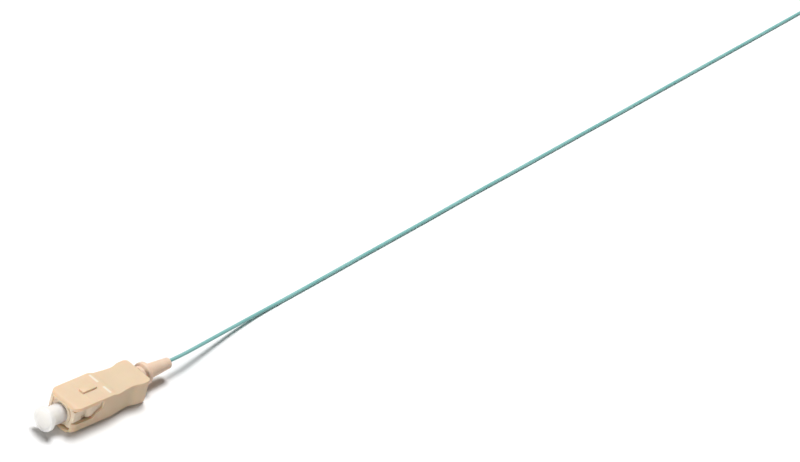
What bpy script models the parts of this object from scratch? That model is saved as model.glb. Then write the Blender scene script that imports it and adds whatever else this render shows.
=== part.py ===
"""A fibre optic pigtail: one SC plug with its dust cap and boot, and 1 m of 0.9 mm buffered fibre.

Metres, +Z up. The plug lies on the floor with its key up and its mating end towards -X. The origin is
on the floor below the middle of the plug's length, from the cap's disc to the end of the boot. Pieces of
the plug are modelled from the front face of its sleeve, along the plug's axis, and stand on one empty.
"""

import math

import bmesh
import bpy
from mathutils import Quaternion, Vector

MM = 0.001

# Clearances
SLIDE_GAP = 0.2 * MM
REST_GAP = 0.3 * MM
PRESS_GAP = 0.1 * MM
PAST = 1.0 * MM

# Coupling sleeve: a full block, a lower part behind it that narrows to a waist, a flared tail, the window
# in each side and the key
SLEEVE_LENGTH = 25.0 * MM
SLEEVE_WIDTH = 9.0 * MM
SLEEVE_HEIGHT = 7.4 * MM
NOSE_ROUND = 1.1 * MM
NOSE_ROUND_MOST = 0.6 * MM
NOSE_CORNER = 2.2 * MM
NOSE_CORNER_MOST = 1.6 * MM
NOSE_STEPS = (0.0, 0.3 * MM, 0.65 * MM)
REAR_CORNER = 1.4 * MM
REAR_CORNER_MOST = 1.0 * MM
REAR_STEPS = (0.4 * MM, 0.0)
REAR_CHAMFER = 0.4 * MM
BLOCK_LENGTH = 12.0 * MM
SLOPE_LENGTH = 2.3 * MM
SLOPE_WIDTH = 8.7 * MM
REAR_DROP = 0.62 * MM
WAIST_WIDTH = 7.8 * MM
WAIST_FROM_REAR = 5.7 * MM
TAIL_WIDTH = 8.8 * MM
TAIL_LENGTH = 2.8 * MM
TOP_ROUND = 0.15 * MM
LOWER_CHAMFER = 0.72 * MM
WINDOW_LENGTH = 9.4 * MM
WINDOW_FLOOR = 2.8 * MM
WINDOW_CEILING = 6.5 * MM
WINDOW_RAMP_LENGTH = 2.9 * MM
WINDOW_RAMP_RISE = 1.9 * MM
KEY_START = 5.8 * MM
KEY_LENGTH = 4.5 * MM
KEY_WIDTH = 1.7 * MM
KEY_HEIGHT = 0.55 * MM

# Plug frame: a round boss and a head with the bore, a slimmer tail with the spring chamber, and on each
# side a guide block at the front and a latch block behind it
FRAME_RECESS = 0.6 * MM
FRAME_BOSS_LENGTH = 0.5 * MM
FRAME_BOSS_RADIUS = 2.9 * MM
FRAME_HEAD_LENGTH = 9.2 * MM
FRAME_HEAD_WIDTH = 6.8 * MM
FRAME_HEAD_HEIGHT = 5.6 * MM
FRAME_CORNER = 1.0 * MM
FRAME_TAIL_LENGTH = 9.8 * MM
FRAME_TAIL_WIDTH = 6.2 * MM
FRAME_TAIL_HEIGHT = 4.6 * MM
FRAME_STOP_GAP = 0.3 * MM
BORE_RADIUS = 2.45 * MM
BORE_DEPTH = 7.2 * MM
WEB_THICKNESS = 1.0 * MM
CHAMBER_RADIUS = 1.95 * MM
LATCH_PROUD = 0.6 * MM
LATCH_START = 4.3 * MM
LATCH_END_GAP = 0.4 * MM
LATCH_LIFT = 0.55 * MM
GUIDE_START = 0.5 * MM
GUIDE_LENGTH = 2.4 * MM
GUIDE_EDGE = 0.5 * MM
GUIDE_INNER = 3.1 * MM
GUIDE_LIFT = 0.5 * MM

# Ferrule, flange and spring
FERRULE_RADIUS = 1.25 * MM
FERRULE_CHAMFER = 0.35 * MM
FERRULE_TIP = 0.9 * MM
POCKET_DEPTH = 1.6 * MM
FLANGE_RADIUS = 1.75 * MM
FLANGE_LENGTH = 2.2 * MM
FLANGE_TAIL_RADIUS = 0.95 * MM
FLANGE_TAIL_LENGTH = 7.0 * MM
FIBRE_BORE_RADIUS = 0.6 * MM
SPRING_RADIUS = 1.45 * MM
SPRING_WIRE = 0.4 * MM
SPRING_TURNS = 5.5
SPRING_POINTS = 14

# Rear body and boot
STUB_LENGTH = 3.0 * MM
SHOULDER_RADIUS = 2.25 * MM
SHOULDER_LENGTH = 5.0 * MM
END_WALL = 1.0 * MM
POST_RADIUS = 0.75 * MM
POST_LENGTH = 1.5 * MM
TAIL_BORE_RADIUS = 1.2 * MM
MOUTH_LENGTH = 4.5 * MM
MOUTH_WIDTH = 6.8 * MM
MOUTH_HEIGHT = 5.1 * MM
BOOT_LEFT = 0.5 * MM
BOOT_LIFT = 0.38 * MM
BOOT_NECK_RADIUS = 2.0 * MM
BOOT_NECK_LENGTH = 1.2 * MM
BOOT_COLLAR_RADIUS = 2.8 * MM
BOOT_COLLAR_LENGTH = 1.5 * MM
BOOT_COLLAR_EDGE = 0.4 * MM
BOOT_ROOT_RADIUS = 1.85 * MM
BOOT_END_RADIUS = 1.35 * MM
BOOT_EXIT_RADIUS = 0.95 * MM
BOOT_LENGTH = 10.4 * MM

# Dust cap
CAP_DISC_RADIUS = 3.0 * MM
CAP_DISC_THICKNESS = 1.3 * MM
CAP_DISC_EDGE = 0.35 * MM
CAP_DISH_DEPTH = 0.2 * MM
CAP_TUBE_RADIUS = 2.0 * MM
CAP_REACH = 5.1 * MM
CAP_PLUG_LENGTH = 5.2 * MM
CAP_BORE_RADIUS = 1.42 * MM
CAP_BORE_BEYOND_TIP = 1.2 * MM

# Fibre: the route of the stretch that isn't coiled (from the sleeve's front, to its left, up), and the
# coil. The coil holds the rest of 1 m: 7 turns of 0.9 mm, four in its lower layer and three in the upper.
FIBRE_DIAMETER = 0.9 * MM
ROUTE_MM = [
    (36.2, 0.62, 4.40), (38.4, 0.72, 4.37), (41.1, 0.96, 4.20), (45.0, 1.50, 3.84), (49.3, 2.23, 3.34),
    (54.0, 3.07, 2.74), (63.5, 4.72, 1.60), (74.0, 6.21, 0.76), (84.0, 7.25, 0.48), (94.0, 8.17, 0.45),
    (104.2, 9.12, 0.45), (125.0, 11.1, 0.45), (147.0, 13.15, 0.45), (170.0, 15.4, 0.45), (193.5, 17.5, 0.45),
    (218.3, 19.8, 0.45), (244.5, 22.2, 0.45), (272.0, 24.8, 0.45), (300.0, 27.4, 0.45), (328.0, 30.0, 0.45),
    (356.6, 32.7, 0.45), (372.5, 34.2, 0.45),
]
ROUTE_POINTS = 80
ROUTE_STEPS = 40
ROUTE_CROWDING = 1.4
COIL_RADIUS = 15.0 * MM
COIL_ACROSS = 4
COIL_HIGH = 2.0
TIE_WALL = 0.4 * MM
TIE_LENGTH = 5.0 * MM
TIE_GAP = 0.3 * MM

ROUND_SEGMENTS = 40
COIL_SEGMENTS = 60

# Places along the axis that several pieces share
AXIS_HEIGHT = SLEEVE_HEIGHT / 2
FRAME_HEAD_START = FRAME_RECESS + FRAME_BOSS_LENGTH
FRAME_HEAD_END = FRAME_HEAD_START + FRAME_HEAD_LENGTH
FRAME_END = FRAME_HEAD_END + FRAME_TAIL_LENGTH
WEB_START = FRAME_RECESS + BORE_DEPTH
WEB_END = WEB_START + WEB_THICKNESS
FLANGE_START = WEB_END + SLIDE_GAP
FLANGE_END = FLANGE_START + FLANGE_LENGTH
STUB_START = FRAME_END - STUB_LENGTH
BODY_START = FRAME_END + SLIDE_GAP
BODY_END = BODY_START + SHOULDER_LENGTH
BOOT_START = BODY_END + SLIDE_GAP
BOOT_END = BOOT_START + BOOT_LENGTH
CAP_FRONT = -CAP_REACH
FRONT_X = (CAP_REACH - BOOT_END) / 2


def clear_scene():
    for found in list(bpy.data.objects):
        bpy.data.objects.remove(found, do_unlink=True)


def material(name, color, roughness, metallic=0.0):
    made = bpy.data.materials.new(name)
    made.use_nodes = True
    shader = made.node_tree.nodes["Principled BSDF"]
    shader.inputs["Base Color"].default_value = (*color, 1.0)
    shader.inputs["Roughness"].default_value = roughness
    shader.inputs["Metallic"].default_value = metallic
    return made


def place(name, mesh, finish, parent):
    """Puts a mesh in the scene under its empty, with smooth faces between its sharp edges."""
    mesh.shade_smooth()
    mesh.set_sharp_from_angle(angle=math.radians(30))
    made = bpy.data.objects.new(name, mesh)
    bpy.context.scene.collection.objects.link(made)
    made.parent = parent
    if finish:
        mesh.materials.append(finish)
    else:
        made.hide_render = True
        made.display_type = "WIRE"
    return made


def mesh_of(name, shape):
    bmesh.ops.recalc_face_normals(shape, faces=shape.faces)
    mesh = bpy.data.meshes.new(name)
    shape.to_mesh(mesh)
    shape.free()
    return mesh


def turned(name, outline, finish, parent, segments=ROUND_SEGMENTS):
    """A solid of revolution about the X axis from a closed outline of (x, radius) points."""
    shape = bmesh.new()
    points = [shape.verts.new((x, 0.0, radius)) for x, radius in outline]
    edges = [shape.edges.new((a, b)) for a, b in zip(points, points[1:] + points[:1])]
    bmesh.ops.spin(shape, geom=points + edges, cent=(0, 0, 0), axis=(1, 0, 0),
                   angle=2 * math.pi, steps=segments, use_merge=True)
    bmesh.ops.remove_doubles(shape, verts=shape.verts, dist=1e-7)
    bmesh.ops.dissolve_degenerate(shape, dist=1e-8, edges=shape.edges)
    return place(name, mesh_of(name, shape), finish, parent)


def lofted(name, rings, finish, parent):
    """A closed solid through rings that all have the same number of points."""
    shape = bmesh.new()
    rows = [[shape.verts.new(point) for point in ring] for ring in rings]
    for low, high in zip(rows, rows[1:]):
        for i in range(len(low)):
            j = (i + 1) % len(low)
            shape.faces.new((low[i], low[j], high[j], high[i]))
    shape.faces.new(rows[0])
    shape.faces.new(rows[-1])
    return place(name, mesh_of(name, shape), finish, parent)


def rounded_ring(x, width, top, bottom, top_round, bottom_chamfer, arc_steps=3):
    """One cross-section, with round upper and chamfered lower corners, between heights from the axis."""
    ring = []
    half = width / 2
    for side, first, last in ((1, 0.0, 90.0), (-1, 90.0, 180.0)):
        for step in range(arc_steps + 1):
            angle = math.radians(first + (last - first) * step / arc_steps)
            ring.append((x, side * (half - top_round) + top_round * math.cos(angle),
                         top - top_round + top_round * math.sin(angle)))
    ring.append((x, -half, bottom + bottom_chamfer))
    ring.append((x, -half + bottom_chamfer, bottom))
    ring.append((x, half - bottom_chamfer, bottom))
    ring.append((x, half, bottom + bottom_chamfer))
    return ring


def box(name, low, high, finish, parent):
    shape = bmesh.new()
    bmesh.ops.create_cube(shape, size=1.0)
    for vertex in shape.verts:
        for i in range(3):
            vertex.co[i] = high[i] if vertex.co[i] > 0 else low[i]
    return place(name, mesh_of(name, shape), finish, parent)


def boolean(target, other, operation):
    modifier = target.modifiers.new(f"{operation.lower()} {other.name}", "BOOLEAN")
    modifier.operation = operation
    modifier.object = other


def drawn_in(radius, most, distance):
    """How far a round of the radius draws a surface in, at a distance from its end, up to the most."""
    if distance >= radius:
        return 0.0
    return min(most, radius - math.sqrt(radius ** 2 - (radius - distance) ** 2))


def sleeve_section(x, width, top):
    """One section of the sleeve's outer form, drawn in where it rounds over at the nose or the rear."""
    bottom = -AXIS_HEIGHT
    back = SLEEVE_LENGTH - x
    side = (drawn_in(NOSE_CORNER, NOSE_CORNER_MOST, x)
            + drawn_in(REAR_CORNER, REAR_CORNER_MOST, back))
    level = (drawn_in(NOSE_ROUND, NOSE_ROUND_MOST, x)
             + drawn_in(REAR_CHAMFER, REAR_CHAMFER, back))
    return rounded_ring(x, width - 2 * side, top - level, bottom + level, TOP_ROUND, LOWER_CHAMFER)


def sleeve_outside(parent, finish):
    """The sleeve's outer form: a full front block, a waist and a flared tail, flat where it rests."""
    top = SLEEVE_HEIGHT - AXIS_HEIGHT
    rings = [sleeve_section(x, SLEEVE_WIDTH, top)
             for x in (*NOSE_STEPS, NOSE_ROUND, NOSE_CORNER, BLOCK_LENGTH)]
    top -= REAR_DROP
    rings.append(sleeve_section(BLOCK_LENGTH + SLOPE_LENGTH, SLOPE_WIDTH, top))
    rings.append(sleeve_section(SLEEVE_LENGTH - WAIST_FROM_REAR, WAIST_WIDTH, top))
    rings += [sleeve_section(SLEEVE_LENGTH - step, TAIL_WIDTH, top)
              for step in (TAIL_LENGTH, REAR_CORNER, *REAR_STEPS)]
    return lofted("coupling_sleeve", rings, finish, parent)


def coupling_sleeve(parent, finish):
    """The beige housing that slides on the plug frame, with its key, windows and stepped passage."""
    sleeve = sleeve_outside(parent, finish)
    top = SLEEVE_HEIGHT - AXIS_HEIGHT
    head = (FRAME_HEAD_WIDTH / 2 + SLIDE_GAP, FRAME_HEAD_HEIGHT / 2 + SLIDE_GAP)
    tail = (FRAME_TAIL_WIDTH / 2 + SLIDE_GAP, FRAME_TAIL_HEIGHT / 2 + SLIDE_GAP)
    mouth = (MOUTH_WIDTH / 2, MOUTH_HEIGHT / 2)
    step = FRAME_HEAD_END + FRAME_STOP_GAP
    mouth_start = SLEEVE_LENGTH - MOUTH_LENGTH
    passage = box("cut_passage_head", (-PAST, -head[0], -head[1]),
                  (step, head[0], head[1]), None, parent)
    narrow = box("cut_passage_tail", (step - PAST, -tail[0], -tail[1]),
                 (SLEEVE_LENGTH, tail[0], tail[1]), None, parent)
    opening = box("cut_mouth", (mouth_start, -mouth[0], -mouth[1]),
                  (SLEEVE_LENGTH + PAST, mouth[0], mouth[1]), None, parent)
    floor = WINDOW_FLOOR - AXIS_HEIGHT
    ceiling = WINDOW_CEILING - AXIS_HEIGHT
    outline = [(-PAST, floor), (WINDOW_LENGTH - WINDOW_RAMP_LENGTH, floor),
               (WINDOW_LENGTH, floor + WINDOW_RAMP_RISE), (WINDOW_LENGTH, ceiling), (-PAST, ceiling)]
    rings = [[(x, y, z) for x, z in outline] for y in (-SLEEVE_WIDTH, SLEEVE_WIDTH)]
    window = lofted("cut_windows", rings, None, parent)
    for cutter in (passage, narrow, opening, window):
        boolean(sleeve, cutter, "DIFFERENCE")
    key = box("add_key", (KEY_START, -KEY_WIDTH / 2, top - KEY_HEIGHT),
              (KEY_START + KEY_LENGTH, KEY_WIDTH / 2, top + KEY_HEIGHT), None, parent)
    boolean(sleeve, key, "UNION")
    return sleeve


def side_block(name, side, inner, top, stations, parent):
    """A block on one side of the plug frame, with its own reach and bottom at each station."""
    rings = []
    for x, reach, bottom in stations:
        near, far = side * inner, side * reach
        rings.append([(x, near, bottom), (x, far, bottom), (x, far, top), (x, near, top)])
    return lofted(name, rings, None, parent)


def guide_block(name, side, parent):
    """The block at the frame's front, with a round front edge, that stands in the open end of the window."""
    outer = FRAME_HEAD_WIDTH / 2 + LATCH_PROUD
    bottom = WINDOW_FLOOR + GUIDE_LIFT - AXIS_HEIGHT
    top = WINDOW_CEILING - GUIDE_LIFT - AXIS_HEIGHT
    turn = GUIDE_EDGE - GUIDE_EDGE / math.sqrt(2)
    stations = [(GUIDE_START, outer - GUIDE_EDGE, bottom), (GUIDE_START + turn, outer - turn, bottom),
                (GUIDE_START + GUIDE_EDGE, outer, bottom), (GUIDE_START + GUIDE_LENGTH, outer, bottom)]
    return side_block(name, side, GUIDE_INNER, top, stations, parent)


def latch_block(name, side, parent):
    """The wedge that rises from the frame's side, runs level, and clears the window's ramp below."""
    inner = FRAME_HEAD_WIDTH / 2 - LATCH_PROUD
    outer = FRAME_HEAD_WIDTH / 2 + LATCH_PROUD
    end = WINDOW_LENGTH - LATCH_END_GAP
    bottom = WINDOW_FLOOR + LATCH_LIFT - AXIS_HEIGHT
    slope_start = WINDOW_LENGTH - WINDOW_RAMP_LENGTH
    end_bottom = bottom + WINDOW_RAMP_RISE * (end - slope_start) / WINDOW_RAMP_LENGTH
    stations = [(LATCH_START, inner + LATCH_PROUD / 2, bottom),
                (LATCH_START + 2 * LATCH_PROUD, outer, bottom),
                (slope_start, outer, bottom), (end, outer, end_bottom)]
    return side_block(name, side, inner, WINDOW_CEILING - LATCH_LIFT - AXIS_HEIGHT, stations, parent)


def plug_frame(parent, finish):
    """The inner housing: a boss and a head round the bore, side blocks, and the tail with the spring."""
    half = FRAME_HEAD_HEIGHT / 2
    rings = [rounded_ring(x, FRAME_HEAD_WIDTH, half, -half, FRAME_CORNER, FRAME_CORNER, 6)
             for x in (FRAME_HEAD_START, FRAME_HEAD_END)]
    frame = lofted("plug_frame", rings, finish, parent)
    tail = box("add_frame_tail", (FRAME_HEAD_END - PAST, -FRAME_TAIL_WIDTH / 2, -FRAME_TAIL_HEIGHT / 2),
               (FRAME_END, FRAME_TAIL_WIDTH / 2, FRAME_TAIL_HEIGHT / 2), None, parent)
    boss = turned("add_boss", [(FRAME_RECESS, 0.0), (FRAME_RECESS, FRAME_BOSS_RADIUS),
                               (FRAME_HEAD_START + PAST, FRAME_BOSS_RADIUS), (FRAME_HEAD_START + PAST, 0.0)],
                  None, parent)
    blocks = []
    for side, word in ((1, "left"), (-1, "right")):
        blocks.append(guide_block(f"add_guide_{word}", side, parent))
        blocks.append(latch_block(f"add_latch_{word}", side, parent))
    for added in (tail, boss, *blocks):
        boolean(frame, added, "UNION")
    bore = [(-PAST, 0.0), (WEB_START, 0.0), (WEB_START, BORE_RADIUS), (-PAST, BORE_RADIUS)]
    hole = [(WEB_START - PAST, 0.0), (WEB_END + PAST, 0.0), (WEB_END + PAST, FERRULE_RADIUS + SLIDE_GAP),
            (WEB_START - PAST, FERRULE_RADIUS + SLIDE_GAP)]
    chamber = [(WEB_END, 0.0), (FRAME_END + PAST, 0.0),
               (FRAME_END + PAST, CHAMBER_RADIUS), (WEB_END, CHAMBER_RADIUS)]
    for name, outline in (("cut_bore", bore), ("cut_ferrule_hole", hole), ("cut_chamber", chamber)):
        boolean(frame, turned(name, outline, None, parent), "DIFFERENCE")
    return frame


def ferrule(parent, finish):
    """The ceramic ferrule, with its chamfered tip towards the cap."""
    end = FLANGE_START + POCKET_DEPTH - PRESS_GAP
    outline = [(FERRULE_TIP, 0.0), (FERRULE_TIP, FERRULE_RADIUS - FERRULE_CHAMFER),
               (FERRULE_TIP + FERRULE_CHAMFER, FERRULE_RADIUS), (end, FERRULE_RADIUS), (end, 0.0)]
    return turned("ferrule", outline, finish, parent)


def ferrule_flange(parent, finish):
    """The metal flange with the pocket for the ferrule, and the tail tube that the fibre runs through."""
    pocket = FERRULE_RADIUS + PRESS_GAP
    end = FLANGE_END + FLANGE_TAIL_LENGTH
    outline = [(FLANGE_START, pocket), (FLANGE_START, FLANGE_RADIUS), (FLANGE_END, FLANGE_RADIUS),
               (FLANGE_END, FLANGE_TAIL_RADIUS), (end, FLANGE_TAIL_RADIUS), (end, FIBRE_BORE_RADIUS),
               (FLANGE_START + POCKET_DEPTH, FIBRE_BORE_RADIUS), (FLANGE_START + POCKET_DEPTH, pocket)]
    return turned("ferrule_flange", outline, finish, parent)


def poly_tube(name, points, diameter, resolution, finish, parent):
    """A round wire or cord along the points, with closed ends."""
    curve = bpy.data.curves.new(name, "CURVE")
    curve.dimensions = "3D"
    curve.bevel_depth = diameter / 2
    curve.bevel_resolution = resolution
    curve.use_fill_caps = True
    spline = curve.splines.new("POLY")
    spline.points.add(len(points) - 1)
    for target, point in zip(spline.points, points):
        target.co = (*point, 1.0)
    curve.materials.append(finish)
    made = bpy.data.objects.new(name, curve)
    bpy.context.scene.collection.objects.link(made)
    made.parent = parent
    return made


def ferrule_spring(parent, finish):
    """The coil spring between the flange and the rear body."""
    start = FLANGE_END + SLIDE_GAP + SPRING_WIRE / 2
    end = STUB_START - SLIDE_GAP - SPRING_WIRE / 2
    count = int(SPRING_TURNS * SPRING_POINTS)
    points = []
    for i in range(count + 1):
        turn = 2 * math.pi * SPRING_TURNS * i / count
        along = start + (end - start) * i / count
        points.append((along, SPRING_RADIUS * math.cos(turn), SPRING_RADIUS * math.sin(turn)))
    return poly_tube("ferrule_spring", points, SPRING_WIRE, 1, finish, parent)


def rear_body(parent, finish):
    """The stop behind the frame: a stub in the chamber, a shoulder, and a post that carries the boot."""
    stub = CHAMBER_RADIUS - SLIDE_GAP
    post_end = BODY_END + POST_LENGTH
    hole = FIBRE_BORE_RADIUS - PRESS_GAP
    wall = BODY_END - END_WALL
    outline = [(STUB_START, TAIL_BORE_RADIUS), (STUB_START, stub), (BODY_START, stub),
               (BODY_START, SHOULDER_RADIUS), (BODY_END, SHOULDER_RADIUS), (BODY_END, POST_RADIUS),
               (post_end, POST_RADIUS), (post_end, hole), (wall, hole), (wall, TAIL_BORE_RADIUS)]
    return turned("rear_body", outline, finish, parent)


def boot(parent, finish):
    """The soft boot: a neck over the post, a round collar, and a tube round the fibre.

    It sits off the plug's axis, pulled up and to the left.
    """
    neck_end = BOOT_START + BOOT_NECK_LENGTH
    collar_end = neck_end + BOOT_COLLAR_LENGTH
    recess = POST_RADIUS + SLIDE_GAP + math.hypot(BOOT_LEFT, BOOT_LIFT)
    recess_end = BODY_END + POST_LENGTH + SLIDE_GAP
    edge_radius = BOOT_COLLAR_RADIUS - BOOT_COLLAR_EDGE
    tube_start = collar_end + BOOT_COLLAR_EDGE
    rim = (BOOT_END_RADIUS - BOOT_EXIT_RADIUS) / 2
    outline = [(BOOT_START, recess), (BOOT_START, BOOT_NECK_RADIUS), (neck_end, BOOT_NECK_RADIUS),
               (neck_end, edge_radius), (neck_end + BOOT_COLLAR_EDGE, BOOT_COLLAR_RADIUS),
               (collar_end - BOOT_COLLAR_EDGE, BOOT_COLLAR_RADIUS), (collar_end, edge_radius),
               (tube_start, BOOT_ROOT_RADIUS), (BOOT_END - rim, BOOT_END_RADIUS),
               (BOOT_END, BOOT_END_RADIUS - rim), (BOOT_END, BOOT_EXIT_RADIUS),
               (recess_end, BOOT_EXIT_RADIUS), (recess_end, recess)]
    made = turned("boot", outline, finish, parent)
    made.location = (0.0, BOOT_LEFT, BOOT_LIFT)
    return made


def dust_cap(parent, finish):
    """The moulded cap: a dished disc to grip, and a blind tube that goes over the ferrule, into the bore."""
    disc_end = CAP_FRONT + CAP_DISC_THICKNESS
    tube_end = FRAME_RECESS + CAP_PLUG_LENGTH
    dish = CAP_DISC_RADIUS - 2 * CAP_DISC_EDGE
    bore_start = FERRULE_TIP - CAP_BORE_BEYOND_TIP
    outline = [(CAP_FRONT + CAP_DISH_DEPTH, 0.0), (CAP_FRONT + CAP_DISH_DEPTH, dish - CAP_DISC_EDGE),
               (CAP_FRONT, dish), (CAP_FRONT, CAP_DISC_RADIUS - CAP_DISC_EDGE),
               (CAP_FRONT + CAP_DISC_EDGE, CAP_DISC_RADIUS), (disc_end - CAP_DISC_EDGE, CAP_DISC_RADIUS),
               (disc_end, CAP_DISC_RADIUS - CAP_DISC_EDGE), (disc_end, CAP_TUBE_RADIUS),
               (tube_end, CAP_TUBE_RADIUS), (tube_end, CAP_BORE_RADIUS), (bore_start, CAP_BORE_RADIUS),
               (bore_start, 0.0)]
    return turned("dust_cap", outline, finish, parent)


def smooth_route(places, count):
    """Points on a smooth curve through the places (centripetal Catmull-Rom), closest near the plug."""
    ends = [places[0] * 2 - places[1], *places, places[-1] * 2 - places[-2]]
    dense = []
    for p0, p1, p2, p3 in zip(ends, ends[1:], ends[2:], ends[3:]):
        t1 = math.sqrt((p1 - p0).length)
        t2 = t1 + math.sqrt((p2 - p1).length)
        t3 = t2 + math.sqrt((p3 - p2).length)
        for step in range(ROUTE_STEPS):
            t = t1 + (t2 - t1) * step / ROUTE_STEPS
            a1 = p0 * ((t1 - t) / t1) + p1 * (t / t1)
            a2 = p1 * ((t2 - t) / (t2 - t1)) + p2 * ((t - t1) / (t2 - t1))
            a3 = p2 * ((t3 - t) / (t3 - t2)) + p3 * ((t - t2) / (t3 - t2))
            b1 = a1 * ((t2 - t) / t2) + a2 * (t / t2)
            b2 = a2 * ((t3 - t) / (t3 - t1)) + a3 * ((t - t1) / (t3 - t1))
            dense.append(b1 * ((t2 - t) / (t2 - t1)) + b2 * ((t - t1) / (t2 - t1)))
    dense.append(places[-1])
    reach = [0.0]
    for a, b in zip(dense, dense[1:]):
        reach.append(reach[-1] + (b - a).length)
    points = []
    at = 0
    for i in range(count):
        goal = reach[-1] * (i / (count - 1)) ** ROUTE_CROWDING
        while at < len(dense) - 2 and reach[at + 1] < goal:
            at += 1
        share = (goal - reach[at]) / (reach[at + 1] - reach[at])
        points.append(dense[at].lerp(dense[at + 1], share))
    return points


def route_places():
    """The route's own points in world metres."""
    return [Vector((FRONT_X + x * MM, y * MM, z * MM)) for x, y, z in ROUTE_MM]


def fibre_lead(finish):
    """The stretch of fibre that isn't coiled, from the boot's end to the coil."""
    points = smooth_route(route_places(), ROUTE_POINTS)
    return poly_tube("fibre_lead", points, FIBRE_DIAMETER, 2, finish, None)


def coil_section():
    """Half width and height of the coil's turns, together."""
    return COIL_ACROSS * FIBRE_DIAMETER / 2, COIL_HIGH * FIBRE_DIAMETER


def coil_centre():
    """The coil's centre, to the right of the lead that runs into its outer turn, and the lead's heading."""
    last, before = route_places()[-1], route_places()[-2]
    heading = last - before
    heading.z = 0
    heading.normalize()
    right = Vector((heading.y, -heading.x, 0.0))
    half, _ = coil_section()
    outer = COIL_RADIUS + half
    beside = outer - FIBRE_DIAMETER / 2
    beyond = math.sqrt((outer + REST_GAP) ** 2 - (beside - FIBRE_DIAMETER / 2) ** 2)
    centre = last + heading * beyond + right * beside
    centre.z = 0
    return centre, heading


def turned_ring(name, outline, finish, centre, segments):
    """A ring about a vertical axis from an outline of (radius, height) points."""
    shape = bmesh.new()
    points = [shape.verts.new((radius, 0.0, height)) for radius, height in outline]
    edges = [shape.edges.new((a, b)) for a, b in zip(points, points[1:] + points[:1])]
    bmesh.ops.spin(shape, geom=points + edges, cent=(0, 0, 0), axis=(0, 0, 1),
                   angle=2 * math.pi, steps=segments, use_merge=True)
    bmesh.ops.remove_doubles(shape, verts=shape.verts, dist=1e-7)
    made = place(name, mesh_of(name, shape), finish, None)
    made.location = centre
    return made


def fibre_coil(finish):
    """The rest of the fibre as one ring with its turns' outer shape, leaning from the floor on its tie."""
    centre, heading = coil_centre()
    half, height = coil_section()
    bend = FIBRE_DIAMETER / 2
    inner, outer = COIL_RADIUS - half, COIL_RADIUS + half
    outline = [(inner + bend, 0.0), (outer - bend, 0.0), (outer, bend), (outer, height - bend),
               (outer - bend, height), (inner + bend, height), (inner, height - bend), (inner, bend)]
    ring = turned_ring("fibre_coil", outline, finish, centre, COIL_SEGMENTS)
    lean = math.asin((TIE_WALL + TIE_GAP) / (2 * COIL_RADIUS + half))
    ring.rotation_mode = "QUATERNION"
    ring.rotation_quaternion = Quaternion(heading, -lean)
    ring.location.z = outer * math.sin(lean)
    return ring


def coil_tie(finish):
    """A flat tie wrapped once round the coil's turns, on the side away from the lead."""
    centre, heading = coil_centre()
    half, height = coil_section()
    slot_low = TIE_WALL
    slot_high = slot_low + height + 2 * TIE_GAP
    wide = half + TIE_GAP
    tie = box("coil_tie", (COIL_RADIUS - wide - TIE_WALL, -TIE_LENGTH / 2, 0.0),
              (COIL_RADIUS + wide + TIE_WALL, TIE_LENGTH / 2, slot_high + TIE_WALL), finish, None)
    slot = box("cut_tie", (COIL_RADIUS - wide, -TIE_LENGTH, slot_low),
               (COIL_RADIUS + wide, TIE_LENGTH, slot_high), None, None)
    for made in (tie, slot):
        made.location = centre
        made.rotation_euler.z = math.atan2(heading.y, heading.x) - math.radians(90)
    boolean(tie, slot, "DIFFERENCE")
    return tie


def build():
    clear_scene()
    axis = bpy.data.objects.new("plug_axis", None)
    bpy.context.scene.collection.objects.link(axis)
    axis.location = (FRONT_X, 0.0, AXIS_HEIGHT)

    beige = material("beige_plastic", (0.84, 0.62, 0.43), 0.45)
    ivory = material("ivory_plastic", (0.88, 0.74, 0.60), 0.40)
    soft_beige = material("beige_rubber", (0.84, 0.60, 0.45), 0.60)
    white = material("white_polythene", (0.86, 0.87, 0.84), 0.35)
    ceramic = material("zirconia", (0.90, 0.90, 0.88), 0.12)
    steel = material("steel", (0.62, 0.62, 0.62), 0.28, 1.0)
    aqua = material("aqua_buffer", (0.10, 0.56, 0.53), 0.40)
    tie = material("tie", (0.82, 0.83, 0.84), 0.60)

    coupling_sleeve(axis, beige)
    plug_frame(axis, ivory)
    ferrule(axis, ceramic)
    ferrule_flange(axis, steel)
    ferrule_spring(axis, steel)
    rear_body(axis, steel)
    boot(axis, soft_beige)
    dust_cap(axis, white)
    fibre_lead(aqua)
    fibre_coil(aqua)
    coil_tie(tie)


build()
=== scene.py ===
"""A fibre optic pigtail on a white table: an SC plug with its dust cap and boot, and 1 m of aqua fibre.

Sizes are in millimetres from the front of the plug's sleeve: along the plug, across it to the left, and up
from the table. The shapes of the plug's own pieces are given across and up from its axis.
"""

import math

import bmesh
import bpy
import numpy as np
from mathutils import Matrix


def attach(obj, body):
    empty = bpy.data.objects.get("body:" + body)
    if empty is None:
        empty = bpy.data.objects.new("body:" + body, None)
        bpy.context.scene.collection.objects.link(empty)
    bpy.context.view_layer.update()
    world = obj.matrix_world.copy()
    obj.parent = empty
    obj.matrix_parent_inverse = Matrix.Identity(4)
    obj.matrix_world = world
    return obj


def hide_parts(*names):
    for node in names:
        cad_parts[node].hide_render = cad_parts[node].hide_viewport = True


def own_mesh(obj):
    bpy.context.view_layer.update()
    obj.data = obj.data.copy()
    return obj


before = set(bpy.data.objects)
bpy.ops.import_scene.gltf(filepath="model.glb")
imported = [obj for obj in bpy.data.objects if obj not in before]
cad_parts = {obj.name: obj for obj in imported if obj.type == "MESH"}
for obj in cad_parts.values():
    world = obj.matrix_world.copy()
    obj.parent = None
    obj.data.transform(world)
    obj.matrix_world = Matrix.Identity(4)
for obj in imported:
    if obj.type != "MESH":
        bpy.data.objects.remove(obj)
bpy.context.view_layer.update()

# The view of the plug: a camera with a long lens, 0.7 m away, that looks down at 32 degrees and is rolled
# so that the fibre runs up to the right.
PLUG_FRONT = -15.4
LENS = 138.433
SENSOR_WIDE = 36.0
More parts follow.
